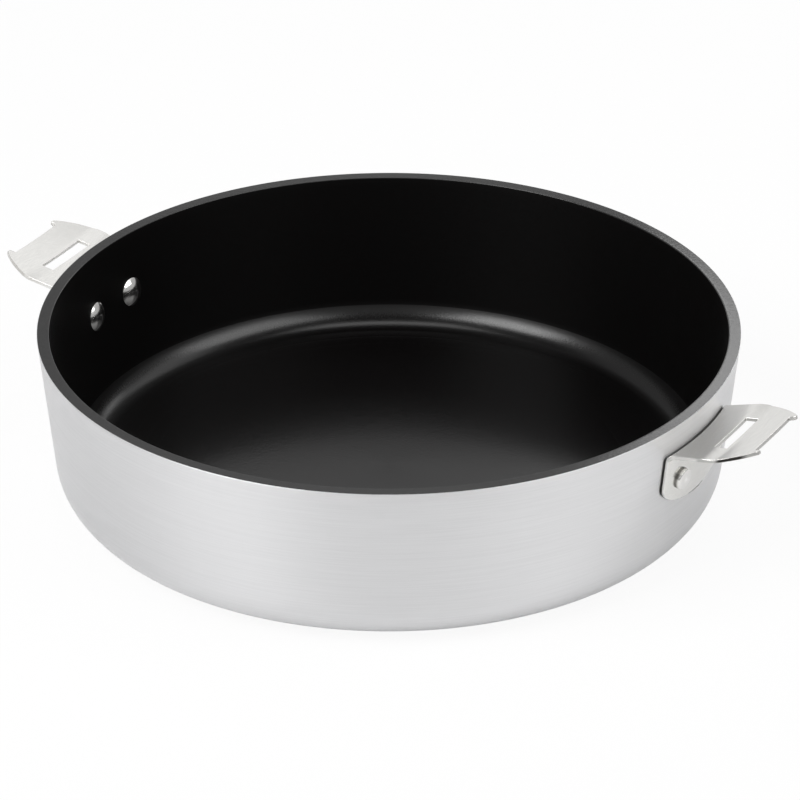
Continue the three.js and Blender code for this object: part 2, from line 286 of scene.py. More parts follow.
def turned_steel():
    """Lathe-turned ferritic steel: a grey shine broken into rings that fan out under a lamp."""
    material, tree = new_material("turned ferritic steel")
    rings = round_scratches(tree, TURNING_LENGTH, TURNING_PITCH, detail=2.0)
    rough = node(
        tree, "ShaderNodeMapRange",
        [("Value", rings.outputs["Fac"]), *NOISE_REACH, *TURNED_ROUGHNESS],
    )
    bump = node(
        tree, "ShaderNodeBump",
        [("Strength", TURNING_BUMP), ("Distance", TURNING_RELIEF * MM), ("Height", rings.outputs["Fac"])],
    )
    shader = node(
        tree, "ShaderNodeBsdfPrincipled",
        [("Base Color", linear(STEEL_DISC)), ("Metallic", 1.0), ("Roughness", rough.outputs["Result"]),
         ("Normal", bump.outputs["Normal"])],
    )
    node(tree, "ShaderNodeOutputMaterial", [("Surface", shader.outputs["BSDF"])])
    return material


disc_back = DISC_THICKNESS - DISC_BACK_GAP
disc_edge = arc(DISC_RADIUS - DISC_EDGE, DISC_EDGE, DISC_EDGE, -np.pi / 2, 0.0, 6)
disc_section = np.vstack([
    [[0.0, 0.0]],
    straight((0.0, 0.0), disc_edge[0], 16),
    disc_edge,
    [[DISC_RADIUS, disc_back]],
    straight((DISC_RADIUS, disc_back), (0.0, disc_back), 6),
    [[0.0, disc_back]],
])
points, faces = turned(disc_section)
disc = solid("base_plate", points, faces, [turned_steel()])
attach(disc, "root")
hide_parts("base_disc")

# The non-stick lining
# A black fluoropolymer coat sprayed on in layers and baked, over the whole inside and the flat rim.
# The floor was turned before coating and its rings still show. The steep wall came out dullest.

RIM_EDGE = 0.4
RING_WIDTH = 1.6
RING_DEPTH = 0.03
FIRST_RING = 4.0
RING_SPACING = 6.0
RING_COUNT = 4
WALL_COAT_FROM = 0.7

COAT_BLACK = "#060505"
COAT_IOR = 1.53
COAT_SHEEN = {"floor": 0.4, "corner": 0.5, "wall": 0.15}
COAT_SMOOTH = {"floor": 0.17, "corner": 0.1, "wall": 0.1}
COAT_SPREAD = 0.05
COAT_DRAWN_OUT = 0.45

# The real grain is about 0.2 mm, and the turning below it 0.3 mm. Both are drawn coarser.
# They wouldn't show otherwise.
COAT_GRAIN = 0.9
COAT_RELIEF = 0.1
COAT_BUMP = 0.25
RING_LENGTH = 90.0
RING_PITCH = 1.6
RING_SHARE = 0.1

# How much dullness overspray adds, by how far up the surface faces: 1 is level and 0 is upright.
WALL_OVERSPRAY = 0.26
CORNER_OVERSPRAY = 0.08
STEEP = 0.15
NEAR_LEVEL = 0.97
LEVEL = 0.999


def black_nonstick(zone):
    """Baked non-stick coat: near black, half gloss, duller the steeper it stood to the spray gun."""
    material, tree = new_material(f"black non-stick {zone} coat")
    surface = node(tree, "ShaderNodeTexCoord")
    grain = node(
        tree, "ShaderNodeTexNoise",
        [("Vector", surface.outputs["Object"]), ("Scale", PER_METRE / COAT_GRAIN), ("Detail", 2.0)],
    )
    rings = round_scratches(tree, RING_LENGTH, RING_PITCH, detail=1.0)
    height = node(
        tree, "ShaderNodeMath",
        [(0, rings.outputs["Fac"]), (1, RING_SHARE), (2, grain.outputs["Fac"])],
        operation="MULTIPLY_ADD",
    )
    rough = node(
        tree, "ShaderNodeMapRange",
        [("Value", grain.outputs["Fac"]), *NOISE_REACH,
         ("To Min", COAT_SMOOTH[zone]), ("To Max", COAT_SMOOTH[zone] + COAT_SPREAD)],
    )
    upturned = node(tree, "ShaderNodeSeparateXYZ", [(0, surface.outputs["Normal"])]).outputs[2]
    overspray = node(
        tree, "ShaderNodeMapRange",
        [("Value", upturned), ("From Min", STEEP), ("From Max", NEAR_LEVEL),
         ("To Min", WALL_OVERSPRAY), ("To Max", CORNER_OVERSPRAY)],
    )
    sloped = node(
        tree, "ShaderNodeMapRange",
        [("Value", upturned), ("From Min", NEAR_LEVEL), ("From Max", LEVEL),
         ("To Min", 1.0), ("To Max", 0.0)],
    )
    dull = node(
        tree, "ShaderNodeMath",
        [(0, overspray.outputs["Result"]), (1, sloped.outputs["Result"]), (2, rough.outputs["Result"])],
        operation="MULTIPLY_ADD",
    )
    bump = node(
        tree, "ShaderNodeBump",
        [("Strength", COAT_BUMP), ("Distance", COAT_RELIEF * MM), ("Height", height.outputs[0])],
    )
    tangent = node(tree, "ShaderNodeTangent", direction_type="RADIAL", axis="Z")
    shader = node(
        tree, "ShaderNodeBsdfPrincipled",
        [("Base Color", linear(COAT_BLACK)), ("Roughness", dull.outputs[0]), ("IOR", COAT_IOR),
         ("Specular IOR Level", COAT_SHEEN[zone]), ("Anisotropic", COAT_DRAWN_OUT),
         ("Anisotropic Rotation", QUARTER_TURN), ("Normal", bump.outputs["Normal"]),
         ("Tangent", tangent.outputs["Tangent"])],
    )
    node(tree, "ShaderNodeOutputMaterial", [("Surface", shader.outputs["BSDF"])])
    return material


coat = COAT_BOND + COAT_THICKNESS
coat_z = FLOOR_Z + coat
bond_floor_z = FLOOR_Z + COAT_BOND
bond_z = metal_rim_z + COAT_BOND
edge_z = RIM_Z - RIM_EDGE
edge_x = wall_radius(edge_z, WALL_THICKNESS + coat - RIM_EDGE)
inner_edge = arc(edge_x, edge_z, RIM_EDGE, np.pi - WALL_LEAN, np.pi / 2, 6)
coat_side = bare_corner[-1, 0] - COAT_BOND
coat_corner = bottom_corner(coat_z, FOOT_THICKNESS + coat, INNER_CORNER - coat)
bond_inner = np.array([wall_radius(bond_z, WALL_THICKNESS + COAT_BOND), bond_z])
bond_corner = bottom_corner(
    bond_floor_z, FOOT_THICKNESS + COAT_BOND, INNER_CORNER - COAT_BOND, steps=12
)
across_ring = np.linspace(0.5, -0.5, 13)
ring_middle = coat_corner[0, 0] - FIRST_RING - RING_SPACING * np.arange(RING_COUNT)
ring_radius = ring_middle[:, None] + RING_WIDTH * across_ring
ring_sink = 0.5 * RING_DEPTH * (1.0 + np.cos(2.0 * np.pi * across_ring))
ring_z = coat_z - ring_sink + 0.0 * ring_radius
floor_rings = np.column_stack([ring_radius.ravel(), ring_z.ravel()])
lining_section = np.vstack([
    [[0.0, bond_floor_z]],
    straight((0.0, bond_floor_z), bond_corner[0], 6),
    bond_corner,
    straight(bond_corner[-1], bond_inner, 6),
    [bond_inner, [coat_side, bond_z], [coat_side, RIM_Z]],
    straight((coat_side, RIM_Z), inner_edge[-1], 4),
    inner_edge[::-1],
    straight(inner_edge[0], coat_corner[-1], 16),
    coat_corner[::-1],
    floor_rings,
    straight(floor_rings[-1], (0.0, coat_z), 20),
    [[0.0, coat_z]],
])
points, faces = turned(lining_section)
strip_z = 0.5 * (lining_section[:, 1] + np.roll(lining_section[:, 1], -1))
on_floor = strip_z < coat_z + COAT_BOND
on_wall = (strip_z > FLOOR_Z + WALL_COAT_FROM * INNER_CORNER) & (strip_z < edge_z)
zones = ["floor", "corner", "wall"]
coats = [black_nonstick(zone) for zone in zones]
steep_zone = np.where(on_wall, zones.index("wall"), zones.index("corner"))
strip_zone = np.where(on_floor, zones.index("floor"), steep_zone).astype(np.int32)
lining = solid("lining", points, faces, coats, np.repeat(strip_zone, TURNS_ROUND))
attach(lining, "root")
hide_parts("nonstick_lining")

# The two handle brackets
# Each is blanked, slotted and bent from 1.5 mm stainless sheet and left bright.
# A tongue lies on the wall under two rivets, and the ear above it takes hold of a clip-on handle.

SHEET = 1.5
PLATE_GAP = 0.06
EAR_DROP = 11.4
PLATE_HALF = 25.0
PLATE_HEIGHT = 25.2
TONGUE_DEPTH = 10.4
TONGUE_START = 0.1
BEND_OUTSIDE = 3.3
ROOT_HALF = 23.8
INNER_STRETCH = 13.0
INNER_SLOPE = np.radians(13.0)
SHELF_STRETCH = 6.2
SHELF_SLOPE = np.radians(8.5)
SHOULDER_STRETCH = 3.9
SHOULDER_STRAIGHT = 0.5
LIP_STRETCH = 11.4
LIP_SLOPE = np.radians(16.0)
EAR_HALF = 25.75
EAR_DISH = 0.7
SLOT_WIDTH = 5.2
SLOT_HALF = 13.6
SLOT_LEEWAY = 0.01
HORN_HALF = 16.8
HORN_LENGTH = 2.4
HORN_WIDTH = 1.5
NOTCH_ROUND = 1.3
EDGE_BREAK = 0.2
EDGE_STEPS = 3
EDGE_ANGLE = 50.0
FOLD_ROUND = 0.5
FOLD_SMOOTH_ANGLE = 40.0

# Shares of the way out across the sheet: where the even columns end, where those of the notch's corner
# begin, and how far the inner columns reach on the narrow tongue.
EVEN_COLUMNS = 0.9
CORNER_COLUMNS = 0.915
TONGUE_COLUMNS = 0.56

STAINLESS = "#f3f2ef"
STAINLESS_GRAIN = "#ecebe8"
BRIGHT_ROUGHNESS = (("To Min", 0.12), ("To Max", 0.19))

# Real rolling grain is about 0.05 mm wide, and a torn edge's pits 0.2 mm. Both are drawn coarser.
# They wouldn't show otherwise.
SHEET_GRAIN = 0.3
SHEET_GRAIN_LENGTH = 5.0
SHEET_RELIEF = 0.1
SHEET_BUMP = 0.02
TEAR_SIZE = 0.625
TORN_ROUGHNESS = (("To Min", 0.3), ("To Max", 0.5))
# The lip's cut edge: the right bracket's dark tone is painted shade, and the left bracket's is lighter.
TORN_AND_SHADED_EDGE = {"right": "#3c3a38", "left": "#d8d6d2"}

# How bright the cut edge is, from 0 to 1, at places out along the bracket: partly its torn and rubbed
# finish, partly painted highlight and shade.
EDGE_INNER = 130.0
EDGE_OUTER = 180.0
RUBBED_AND_LIT_BANDS = ((149.5, 1.0), (151.0, 0.6), (157.5, 0.6), (159.0, 0.0), (166.5, 0.0), (169.0, 0.6))

# Painted shade sits where the sheet is near the wall, up to the first gap, and is gone at the second.
PAINTED_CREVICE_SHADE = "#2c2a28"
PAINTED_SHADE_GAP = (0.45, 0.9)

bend_z = RIM_Z - EAR_DROP
bend_x = wall_radius(bend_z, -PLATE_GAP)
plate_z = bend_z - PLATE_HEIGHT
crease_x = bend_x + INNER_STRETCH
crease_z = bend_z + INNER_STRETCH * np.tan(INNER_SLOPE)
slot_x = crease_x + SLOT_WIDTH
shoulder_x = crease_x + SHOULDER_STRETCH
lip_x = crease_x + SHELF_STRETCH
tip_x = lip_x + LIP_STRETCH
horn_x = tip_x + HORN_LENGTH
notch_half = HORN_HALF - HORN_WIDTH
setback = BEND_OUTSIDE * np.tan((np.pi / 2 - WALL_LEAN - INNER_SLOPE) / 2)
stretch_x = bend_x + setback * np.cos(INNER_SLOPE)
bend_start_z = bend_z - setback * np.cos(WALL_LEAN)
bend_middle = (
    bend_x - setback * np.sin(WALL_LEAN) + BEND_OUTSIDE * np.cos(WALL_LEAN),
    bend_start_z - BEND_OUTSIDE * np.sin(WALL_LEAN),
)


def ear_height(x):
    """Height of the ear's top along its middle: three slopes, eased into each other at the two folds.

    Past a fold the height changes by the slopes' difference times half of (d + sqrt(d^2 + r^2)), where
    d is the distance past the fold and r is how round the fold is.
    """
    height = crease_z + (x - crease_x) * np.tan(INNER_SLOPE)
    for fold, before, after in ((crease_x, INNER_SLOPE, SHELF_SLOPE), (lip_x, SHELF_SLOPE, LIP_SLOPE)):
        past = x - fold
        eased = 0.5 * (past + np.sqrt(past ** 2 + FOLD_ROUND ** 2))
        height = height + eased * (np.tan(after) - np.tan(before))
    return height


def half_width(x):
    """Half the sheet's width: in from plate to root, out to the crease, then in along the shoulders.

    A shoulder falls partly by a straight line and partly by a circle's arc that starts level.
    """
    run = horn_x - shoulder_x
    fall = EAR_HALF - HORN_HALF
    radius = (run ** 2 + fall ** 2) / (2.0 * fall)
    past = np.clip(x - shoulder_x, 0.0, run)
    arc_fall = radius - np.sqrt(radius ** 2 - past ** 2)
    line_fall = fall * past / run
    shoulder = EAR_HALF - SHOULDER_STRAIGHT * line_fall - (1.0 - SHOULDER_STRAIGHT) * arc_fall
    flare = np.interp(x, [bend_x, stretch_x, crease_x], [PLATE_HALF, ROOT_HALF, EAR_HALF])
    return np.where(x > crease_x, shoulder, flare)


def bracket_rows():
    """The rows across the sheet, from the tongue's point to the slot's outer edge.

    Each row has the middle's place x and z, and half the sheet's width there. The tongue is half an
    ellipse, the bend an arc, and the ear's first part follows its slopes.
    """
    sweep = np.linspace(TONGUE_START, np.pi / 2, 16)
    tongue_z = plate_z + TONGUE_DEPTH * (1.0 - np.cos(sweep))
    plate_rows = np.concatenate([tongue_z, np.linspace(tongue_z[-1], bend_start_z, 8)[1:-1]])
    plate_width = np.full(len(plate_rows), PLATE_HALF)
    plate_width[:len(sweep)] *= np.sin(sweep)
    bend = arc(*bend_middle, BEND_OUTSIDE, np.pi - WALL_LEAN, np.pi / 2 + INNER_SLOPE, 12)
    ear_x = np.concatenate([
        np.linspace(stretch_x, crease_x, 14)[1:],
        np.linspace(crease_x, slot_x, 8)[1:],
    ])
    x = np.concatenate([wall_radius(plate_rows, -PLATE_GAP), bend[:, 0], ear_x])
    z = np.concatenate([plate_rows, bend[:, 1], ear_height(ear_x)])
    width = np.concatenate([plate_width, half_width(bend[:, 0]), half_width(ear_x)])
    return x, z, width


def lip_rows(inner, outer):
    """The rows from the slot's outer edge to the tip: places along the ear, and across half of it.

    The tip's end is the notch, with a horn at each side. Near a horn it runs out to the horn's tip by the
    square of (1 - root of d), where d is the distance from the horn over the corner's roundness.
    """
    along = np.linspace(0.0, 1.0, 16)[1:, None]
    from_horn = notch_half - notch_half * inner
    corner = np.sqrt(np.clip(from_horn / NOTCH_ROUND, 0.0, 1.0))
    end_x = np.concatenate([tip_x + HORN_LENGTH * (1.0 - corner) ** 2, horn_x + 0.0 * outer])
    x = slot_x + along * (end_x - slot_x)
    ends = SLOT_HALF + along * (notch_half - SLOT_HALF)
    sides = half_width(x[:, len(inner):])
    half = np.concatenate([ends * inner, ends + (sides - ends) * outer], axis=1)
    return x, half


def bracket_face():
    """The face that lies on the wall and runs on as the ear's top, as a grid of rows by columns.

    Columns are even out to near the slot's ends, closer there, and even on to the sides. The sheet is
    bent to the wall's curve, which fades out along the neck, and the ear is dished by the square of
    the distance from its middle. The second result says which faces the slot leaves.
    """
    x, z, width = bracket_rows()
    inner = np.concatenate([np.linspace(0.0, EVEN_COLUMNS, 13), np.linspace(CORNER_COLUMNS, 1.0, 8)])
    outer = np.linspace(0.0, 1.0, 12)[1:]
    ends = np.minimum(SLOT_HALF, TONGUE_COLUMNS * width)[:, None]
    near_half = np.concatenate([ends * inner, ends + (width[:, None] - ends) * outer], axis=1)
    far_x, far_half = lip_rows(inner, outer)
    half = np.vstack([near_half, far_half])
    row_x = np.vstack([x[:, None] + 0.0 * near_half, far_x])
    row_z = np.vstack([z[:, None] + 0.0 * near_half, ear_height(far_x)])
    y = np.concatenate([-half[:, :0:-1], half], axis=1)
    row_x = np.concatenate([row_x[:, :0:-1], row_x], axis=1)
    row_z = np.concatenate([row_z[:, :0:-1], row_z], axis=1)
    share = np.clip((crease_x - row_x) / (crease_x - stretch_x), 0.0, 1.0)
    rise = EAR_DISH * (y / EAR_HALF) ** 2
    bent_x = row_x - share * (row_x - np.sqrt(row_x ** 2 - y ** 2))
    grid = np.stack([bent_x, y, row_z + (1.0 - share) * rise], axis=-1)
    before_lip = np.arange(len(grid) - 1)[:, None] < len(x) - 1
    slot_rows = (row_x[:-1, :-1] > crease_x - SLOT_LEEWAY) & before_lip
    slot_columns = np.abs(0.5 * (y[:-1, :-1] + y[:-1, 1:])) < SLOT_HALF
    return grid, ~(slot_rows & slot_columns)


def sheet_solid(grid, kept):
    """A sheet's thickness under a grid: the face, the face moved along its normal, and the cut edges.

    Edges that only one kept face uses are the outline and the slot, and each gets a strip across the
    sheet. The third result is 1 for those strips and 0 for the faces.
    """
    along, across = np.gradient(grid, axis=0), np.gradient(grid, axis=1)
    normal = np.cross(along, across)
    normal /= np.linalg.norm(normal, axis=-1, keepdims=True)
    points = np.concatenate([grid.reshape(-1, 3), (grid - SHEET * normal).reshape(-1, 3)])
    count = grid.shape[0] * grid.shape[1]
    index = np.arange(count).reshape(grid.shape[:2])
    top = np.stack([index[:-1, :-1], index[1:, :-1], index[1:, 1:], index[:-1, 1:]], axis=-1)[kept]
    edges = np.stack([top, np.roll(top, -1, axis=1)], axis=-1).reshape(-1, 2)
    code = edges[:, 0] * count + edges[:, 1]
    back = edges[:, 1] * count + edges[:, 0]
    rim = edges[~np.isin(code, back)]
    strip = np.column_stack([rim[:, 1], rim[:, 0], rim[:, 0] + count, rim[:, 1] + count])
    faces = np.concatenate([top, top[:, ::-1] + count, strip])
    is_strip = np.repeat(np.array([0, 1], dtype=np.int32), [2 * len(top), len(strip)])
    return points, faces, is_strip


def clear_of_wall(tree, place, near, clear):
    """0 up to a near gap from the wall's outside and 1 from a clear gap on, eased, along the radius."""
    parts = node(tree, "ShaderNodeSeparateXYZ", [(0, place)])
    flat = node(tree, "ShaderNodeCombineXYZ", [(0, parts.outputs[0]), (1, parts.outputs[1])])
    radius = node(tree, "ShaderNodeVectorMath", [(0, flat.outputs[0])], operation="LENGTH")
    wall_here = node(
        tree, "ShaderNodeMath",
        [(0, parts.outputs[2]), (1, float(np.tan(WALL_LEAN))), (2, float(wall_radius(0.0)) * MM)],
        operation="MULTIPLY_ADD",
    )
    signed = node(
        tree, "ShaderNodeMath",
        [(0, radius.outputs["Value"]), (1, wall_here.outputs[0])],
        operation="SUBTRACT",
    )
    gap = node(tree, "ShaderNodeMath", [(0, signed.outputs[0])], operation="ABSOLUTE")
    share = node(
        tree, "ShaderNodeMapRange",
        [("Value", gap.outputs[0]), ("From Min", near * MM), ("From Max", clear * MM)],
        interpolation_type="SMOOTHSTEP",
    )
    return share.outputs["Result"]


def bright_stainless():
    """Bright cold-rolled stainless: near a mirror, softened by its grain, with painted shade next to the
    wall.
    """
    material, tree = new_material("bright stainless sheet")
    place = node(tree, "ShaderNodeTexCoord").outputs["Object"]
    fine = PER_METRE / SHEET_GRAIN
    stretch = node(
        tree, "ShaderNodeMapping",
        [("Vector", place), ("Scale", (fine, PER_METRE / SHEET_GRAIN_LENGTH, fine))],
    )
    grain = node(
        tree, "ShaderNodeTexNoise",
        [("Vector", stretch.outputs[0]), ("Scale", 1.0), ("Detail", 3.0)],
    )
    rough = node(
        tree, "ShaderNodeMapRange",
        [("Value", grain.outputs["Fac"]), *NOISE_REACH, *BRIGHT_ROUGHNESS],
    )
    bump = node(
        tree, "ShaderNodeBump",
        [("Strength", SHEET_BUMP), ("Distance", SHEET_RELIEF * MM), ("Height", grain.outputs["Fac"])],
    )
    streak = node(tree, "ShaderNodeMapRange", [("Value", grain.outputs["Fac"]), *STREAK_REACH])
    steel = node(
        tree, "ShaderNodeMix",
        [("Factor", streak.outputs[0]), ("A", linear(STAINLESS)), ("B", linear(STAINLESS_GRAIN))],
        data_type="RGBA",
    )
    # The colour is darkened near the wall as painted crevice shade.
    colour = node(
        tree, "ShaderNodeMix",
        [("Factor", clear_of_wall(tree, place, *PAINTED_SHADE_GAP)), ("A", linear(PAINTED_CREVICE_SHADE)),
         ("B", steel.outputs["Result"])],
        data_type="RGBA",
    )
    shader = node(
        tree, "ShaderNodeBsdfPrincipled",
        [("Base Color", colour.outputs["Result"]), ("Metallic", 1.0),
         ("Roughness", rough.outputs["Result"]), ("Normal", bump.outputs["Normal"])],
    )
    node(tree, "ShaderNodeOutputMaterial", [("Surface", shader.outputs["BSDF"])])
    return material


def punched_edge(end):
    """Punched edges: torn and dull along the lip, rubbed bright elsewhere, with painted highlight and
    shade in bands along them, and painted shade next to the wall.
    """
    material, tree = new_material(f"punched stainless edge {end}")
    place = node(tree, "ShaderNodeTexCoord").outputs["Object"]
    tear = node(
        tree, "ShaderNodeTexNoise",
        [("Vector", place), ("Scale", PER_METRE / TEAR_SIZE), ("Detail", 2.0)],
    )
    rough = node(
        tree, "ShaderNodeMapRange",
        [("Value", tear.outputs["Fac"]), *NOISE_REACH, *TORN_ROUGHNESS],
    )
    along = node(tree, "ShaderNodeSeparateXYZ", [(0, place)]).outputs[0]
    reach = node(tree, "ShaderNodeMath", [(0, along)], operation="ABSOLUTE")
    share = node(
        tree, "ShaderNodeMapRange",
        [("Value", reach.outputs[0]), ("From Min", EDGE_INNER * MM), ("From Max", EDGE_OUTER * MM)],
    )
    # Bands of painted highlight and shade along the cut edge, laid over its torn and rubbed finish.
    bands = node(tree, "ShaderNodeValToRGB", [(0, share.outputs[0])])
    bright, torn = np.array(linear(STAINLESS)), np.array(linear(TORN_AND_SHADED_EDGE[end]))
    stops = bands.color_ramp.elements
    for i, (reached, rubbed) in enumerate(RUBBED_AND_LIT_BANDS):
        at = (reached - EDGE_INNER) / (EDGE_OUTER - EDGE_INNER)
        stop = stops.new(at) if i > 1 else stops[i]
        stop.position = at
        stop.color = (rubbed * bright + (1.0 - rubbed) * torn).tolist()
    # The colour is darkened near the wall as painted crevice shade.
    colour = node(
        tree, "ShaderNodeMix",
        [("Factor", clear_of_wall(tree, place, *PAINTED_SHADE_GAP)), ("A", linear(PAINTED_CREVICE_SHADE)),
         ("B", bands.outputs[0])],
        data_type="RGBA",
    )
    shader = node(
        tree, "ShaderNodeBsdfPrincipled",
        [("Base Color", colour.outputs["Result"]), ("Metallic", 1.0),
         ("Roughness", rough.outputs["Result"])],
    )
    node(tree, "ShaderNodeOutputMaterial", [("Surface", shader.outputs["BSDF"])])
    return material


# The bevel takes the sheet's finish on the right ear and the cut edge's on the left one, so the two ears'
# edges differ as painted highlight and shade.
sheet_steel = bright_stainless()
face_grid, face_kept = bracket_face()
for end, facing, bevel_finish in (("right", 1.0, 0), ("left", -1.0, 1)):
    points, faces, is_strip = sheet_solid(face_grid * (facing, facing, 1.0), face_kept)
    finishes = [sheet_steel, punched_edge(end)]
    bracket = solid(f"bracket_{end}", points, faces, finishes, is_strip, FOLD_SMOOTH_ANGLE)
    edge = bracket.modifiers.new("broken edges", "BEVEL")
    edge.width = EDGE_BREAK * MM
    edge.segments = EDGE_STEPS
    edge.use_clamp_overlap = False
    edge.material = bevel_finish
    edge.limit_method = "ANGLE"
    edge.angle_limit = np.radians(EDGE_ANGLE)
    edge.harden_normals = True
    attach(bracket, "root")
    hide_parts(f"handle_bracket_{end}")

# The four rivets
# Solid stainless rivets with polished dome heads inside the pan.
# Outside, the shank's end was pressed into a short round button against the bracket.

RIVET_RISE = 11.3
RIVET_SIDE = 13.65
HEAD_RADIUS = 6.0
HEAD_DOME = 2.1
HEAD_EDGE = 0.3
HEAD_GAP = 0.05
SHANK_RADIUS = 2.75
TAIL_RADIUS = 4.4
TAIL_HEIGHT = 2.0
TAIL_ROUND = 0.7
TAIL_SUNK = 0.02
DIMPLE_RADIUS = 1.7
DIMPLE_DEPTH = 0.4
RIVET_ROUND = 64

POLISHED = "#f5f4f2"
POLISHED_ROUGHNESS = (("To Min", 0.13), ("To Max", 0.2))

# Tumbling leaves patches of haze, seven to a centimetre.
HAZE_SIZE = 10.0 / 7.0

# Painted grey shade lies round the button's foot, up to the first gap from the wall, and is gone at the
# second.
PAINTED_FOOT_SHADE = "#8b8986"
FOOT_SHADE_GAP = (1.9, 2.9)

rivet_z = plate_z + RIVET_RISE


def polished_rivet():
    """Tumble-polished stainless: hard bright highlights, and painted grey shade where the button meets
    the bracket.
    """
    material, tree = new_material("polished stainless rivet")
    place = node(tree, "ShaderNodeTexCoord").outputs["Object"]
    haze = node(
        tree, "ShaderNodeTexNoise",
        [("Vector", place), ("Scale", PER_METRE / HAZE_SIZE), ("Detail", 2.0)],
    )
    rough = node(
        tree, "ShaderNodeMapRange",
        [("Value", haze.outputs["Fac"]), *NOISE_REACH, *POLISHED_ROUGHNESS],
    )
    # The lower part of the button is greyed as painted shade at its foot.
    colour = node(
        tree, "ShaderNodeMix",
        [("Factor", clear_of_wall(tree, place, *FOOT_SHADE_GAP)), ("A", linear(PAINTED_FOOT_SHADE)),
         ("B", linear(POLISHED))],
        data_type="RGBA",
    )
    shader = node(
        tree, "ShaderNodeBsdfPrincipled",
        [("Base Color", colour.outputs["Result"]), ("Metallic", 1.0),
         ("Roughness", rough.outputs["Result"])],
    )
    node(tree, "ShaderNodeOutputMaterial", [("Surface", shader.outputs["BSDF"])])
    return material


def rivet_section():
    """Radius and place along the axis, with the wall's outside at 0: dome, head's edge, shank, button.

    The dome is a ball's cap. The button's foot is sunk a little into the sheet, and its end is flat with
    a dimple in its middle, whose depth follows a cosine.
    """
    wall_here = np.interp(
        rivet_z, [inner_corner[-1, 1], metal_rim_z], [FOOT_THICKNESS, WALL_THICKNESS]
    )
    head_seat = -(wall_here + coat) - HEAD_GAP
    tail_seat = PLATE_GAP + SHEET - TAIL_SUNK
    ball = (HEAD_RADIUS ** 2 + HEAD_DOME ** 2) / (2.0 * HEAD_DOME)
    sweep = np.arcsin(HEAD_RADIUS / ball)
    ball_middle = head_seat - HEAD_EDGE - HEAD_DOME + ball
    dome = arc(0.0, ball_middle, ball, -np.pi / 2, sweep - np.pi / 2, 16)
    top = tail_seat + TAIL_HEIGHT
    button = arc(TAIL_RADIUS - TAIL_ROUND, top - TAIL_ROUND, TAIL_ROUND, 0.0, np.pi / 2, 6)
    hollow = np.linspace(1.0, 0.0, 11)
    dimple_z = top - 0.5 * DIMPLE_DEPTH * (1.0 + np.cos(np.pi * hollow))
    dimple = np.column_stack([DIMPLE_RADIUS * hollow, dimple_z])
    return np.vstack([
        dome,
        [[HEAD_RADIUS, head_seat], [SHANK_RADIUS, head_seat]],
        [[SHANK_RADIUS, tail_seat], [TAIL_RADIUS, tail_seat]],
        straight((TAIL_RADIUS, tail_seat), button[0], 2),
        button,
        straight(button[-1], dimple[0], 2),
        dimple,
    ])


rivet_steel = polished_rivet()
rivet_points, rivet_faces = turned(rivet_section(), RIVET_ROUND)
rivet_x = wall_radius(rivet_z)
rivet_turn = np.arcsin(RIVET_SIDE / rivet_x)
across, up, outward = rivet_points.T
reach = rivet_x + outward * np.cos(WALL_LEAN) + up * np.sin(WALL_LEAN)
level = rivet_z - outward * np.sin(WALL_LEAN) + up * np.cos(WALL_LEAN)
for end, turn, facing in (("right", 0.0, 1.0), ("left", np.pi, -1.0)):
    for side, front in (("front", -1.0), ("back", 1.0)):
        swing = turn + rivet_turn * front * facing
        points = np.column_stack([
            reach * np.cos(swing) - across * np.sin(swing),
            reach * np.sin(swing) + across * np.cos(swing),
            level,
        ])
        rivet = solid(f"rivet_{end}_{side}_polished", points, rivet_faces, [rivet_steel])
        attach(rivet, "root")
        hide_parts(f"rivet_{end}_{side}")

# The studio
# A wide white table and a white backdrop, with soft boxes beside the camera, at one side, above and
# behind. The camera is a long lens at the photograph's place.

# The table lies just above the disc's face, so that the two don't share one plane.
TABLE_WHITE = "#f4f4f4"
TABLE_SIZE = 24000.0
TABLE_Z = 0.02
TABLE_MATT = 0.6
TABLE_SEEN = 0.92
TABLE_MIRRORED = 0.13
PURE_WHITE = "#ffffff"

# How bright the room is in mirrors. The ramps are in sines of the elevation, and the one for the sides
# is in cosines of the angle from level and straight behind.
BACKDROP_LOW = 0.82
BACKDROP_GAP = 0.45
BACKDROP_HIGH = 0.93
ROOM_SIDES = 0.4
CEILING = 0.06
ROOM_FILL = 0.03
GAP_BEGINS = (("From Min", 0.405), ("From Max", 0.44))
GAP_ENDS = (("From Min", 0.465), ("From Max", 0.5))
SIDES_END = (("From Min", 0.57), ("From Max", 0.77))
CEILING_BEGINS = (("From Min", 0.72), ("From Max", 0.92))

# Each lamp's bearing from the camera and elevation in degrees, distance, width and height in metres,
# and radiance.
SOFT_BOXES = {
    "soft_box_left": (-56.0, 45.0, 1.5, 0.9, 0.9, 6.7),
    "soft_box_right": (66.0, 45.0, 1.5, 1.25, 0.95, 2.75),
    "soft_box_above": (180.0, 68.0, 1.4, 0.6, 1.0, 2.2),
    "soft_box_side": (125.0, 47.0, 1.2, 0.75, 0.5, 0.7),
    "soft_box_back": (152.3, 29.0, 1.03, 0.62, 0.12, 2.3),
}

# The camera's distance is in metres, and its focal length and aim are in pixels of the picture.
VIEW_AZIMUTH = np.radians(30.145)
VIEW_ELEVATION = np.radians(27.1325)
VIEW_DISTANCE = 1.848
VIEW_END = 100.0
FOCAL_PIXELS = 4639.8
IMAGE_PIXELS = 800
AIM_RIGHT = 10.94
AIM_DOWN = 77.0
SENSOR_WIDTH = 36.0


